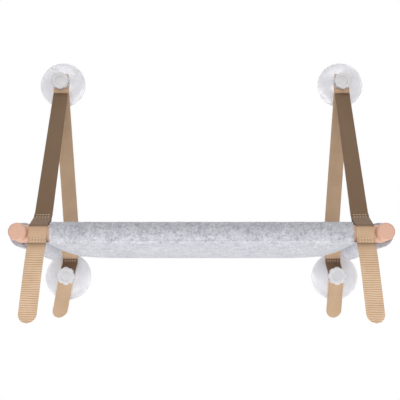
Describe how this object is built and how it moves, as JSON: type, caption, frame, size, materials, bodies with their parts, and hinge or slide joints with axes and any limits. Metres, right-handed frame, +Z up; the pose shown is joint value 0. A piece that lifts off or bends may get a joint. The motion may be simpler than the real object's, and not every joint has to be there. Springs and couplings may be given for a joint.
{
  "type": "window mounted cat perch",
  "caption": "Window perch: felt sling on a dowel frame, hung from suction cups by webbing straps with clamp knobs; the bed folds up against the glass.",
  "frame": {"origin": "in the plane of the glass, midway between the left and right suction cups, at the height of the frame's centre plane", "axes": "+X to the right seen from the room, +Y into the glass, +Z up"},
  "size_m": [0.561, 0.33, 0.4445],
  "materials": {
    "wood": "sanded beech with a thin oil finish",
    "felt": "pressed grey felt, mottled",
    "webbing": "tan ribbed nylon webbing",
    "bolt_steel": "zinc plated",
    "insert_brass": "turned",
    "cup_pvc": "translucent soft PVC",
    "stud_plastic": "moulded white nylon",
    "knob_plastic": "moulded white nylon, slightly translucent"
  },
  "bodies": {
    "root": {"front_strap_left": "webbing", "front_strap_right": "webbing", "rear_strap_left": "webbing", "rear_strap_right": "webbing", "rear_loop_left": "webbing", "rear_loop_right": "webbing", "cup_upper_left": "cup_pvc", "cup_upper_right": "cup_pvc", "cup_lower_left": "cup_pvc", "cup_lower_right": "cup_pvc", "stud_upper_left": "stud_plastic", "stud_upper_right": "stud_plastic", "stud_lower_left": "stud_plastic", "stud_lower_right": "stud_plastic"},
    "bed": {"rail_left": "wood", "rail_right": "wood", "front_bar": "wood", "rear_bar": "wood", "frame_bolts": "bolt_steel", "bar_inserts": "insert_brass", "felt_sling": "felt", "front_loop_left": "webbing", "front_loop_right": "webbing"},
    "upper_left_knob": {"knob_upper_left": "knob_plastic"},
    "upper_right_knob": {"knob_upper_right": "knob_plastic"},
    "lower_left_knob": {"knob_lower_left": "knob_plastic"},
    "lower_right_knob": {"knob_lower_right": "knob_plastic"}
  },
  "joints": [
    {"name": "bed_fold", "type": "hinge", "parent": "root", "child": "bed", "pos_m": [0, -0.02, 0], "axis": [-1, 0, 0], "range_deg": [0, 60], "deforming": ["front_strap_left", "front_strap_right"]},
    {"name": "upper_left_knob_turn", "type": "hinge", "parent": "root", "child": "upper_left_knob", "pos_m": [-0.2415, -0.0245, 0.2845], "axis": [0, -1, 0], "continuous": true},
    {"name": "upper_right_knob_turn", "type": "hinge", "parent": "root", "child": "upper_right_knob", "pos_m": [0.2415, -0.0245, 0.2845], "axis": [0, -1, 0], "continuous": true},
    {"name": "lower_left_knob_turn", "type": "hinge", "parent": "root", "child": "lower_left_knob", "pos_m": [-0.226, -0.0245, -0.048], "axis": [0, -1, 0], "continuous": true},
    {"name": "lower_right_knob_turn", "type": "hinge", "parent": "root", "child": "lower_right_knob", "pos_m": [0.226, -0.0245, -0.048], "axis": [0, -1, 0], "continuous": true}
  ]
}
